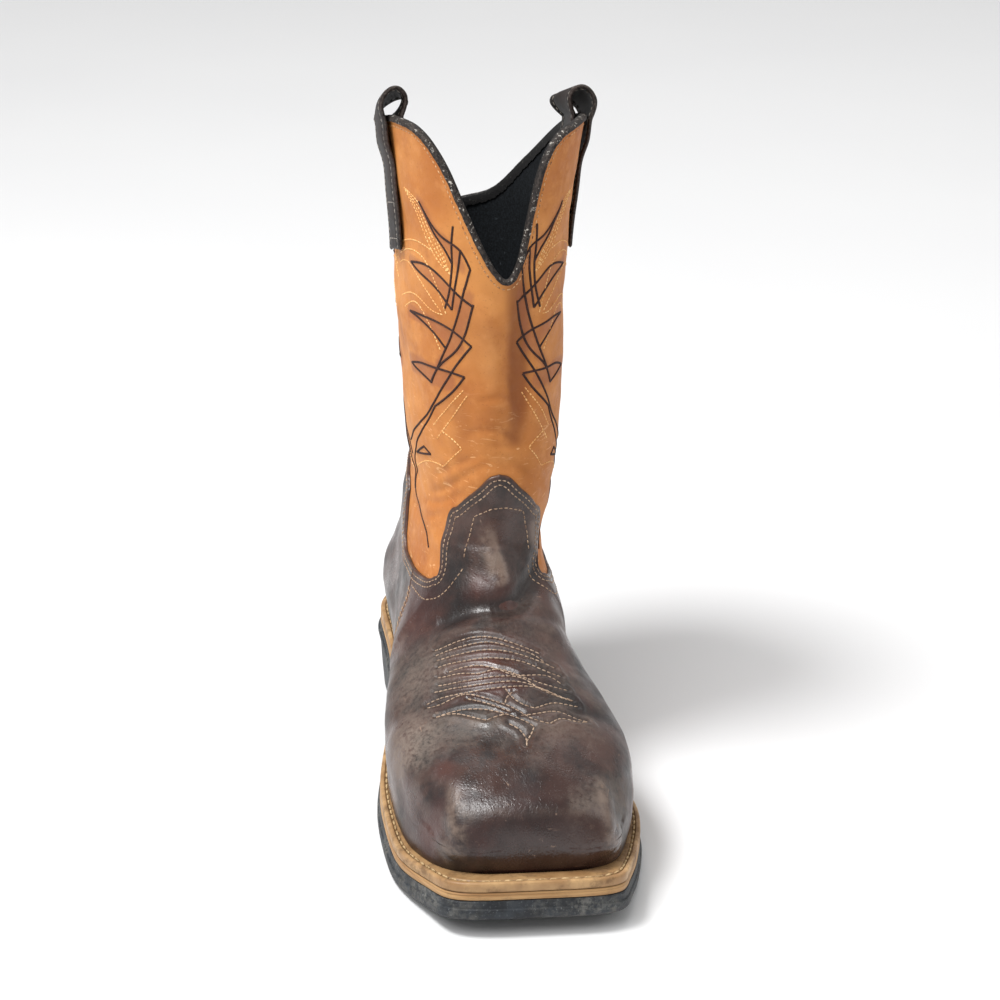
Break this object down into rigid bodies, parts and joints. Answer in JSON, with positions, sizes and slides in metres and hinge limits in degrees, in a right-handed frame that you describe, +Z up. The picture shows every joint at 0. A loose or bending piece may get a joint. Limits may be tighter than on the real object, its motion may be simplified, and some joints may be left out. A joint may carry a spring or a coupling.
{
  "type": "western work boot",
  "caption": "Pull-on western work boot for the right foot, with a square toe, scalloped collar, pull straps, welted sole and block heel.",
  "frame": {"origin": "on the ground under the middle of the boot's box", "axes": "+Z up along the shaft, the toe points to -Y, the medial side of the foot is +X"},
  "size_m": [0.1241, 0.312, 0.3439],
  "materials": {
    "shaft_leather": "waxy tan leather, creased above the vamp, with stitched ornament",
    "vamp_leather": "worn dark brown oiled leather with scuffs and dust",
    "strap_leather": "dark brown leather, edge stitched",
    "binding_leather": "worn black folded leather strip",
    "lining_cloth": "black matt lining",
    "insole_cloth": "dark matt footbed",
    "welt_rubber": "tan welt, dusty, stitched along its ledge",
    "midsole_rubber": "light tan, matt",
    "outsole_rubber": "blue-black speckled rubber, dusty",
    "stitch_thread": "waxed tan thread"
  },
  "bodies": {
    "root": {"outsole": "outsole_rubber", "heel": "outsole_rubber", "midsole": "midsole_rubber", "welt": "welt_rubber", "insole": "insole_cloth", "upper": "shaft_leather", "vamp": "vamp_leather", "heel_counter": "vamp_leather", "collar_binding": "binding_leather", "pull_strap_lateral": "strap_leather", "pull_strap_medial": "strap_leather"}
  },
  "joints": []
}
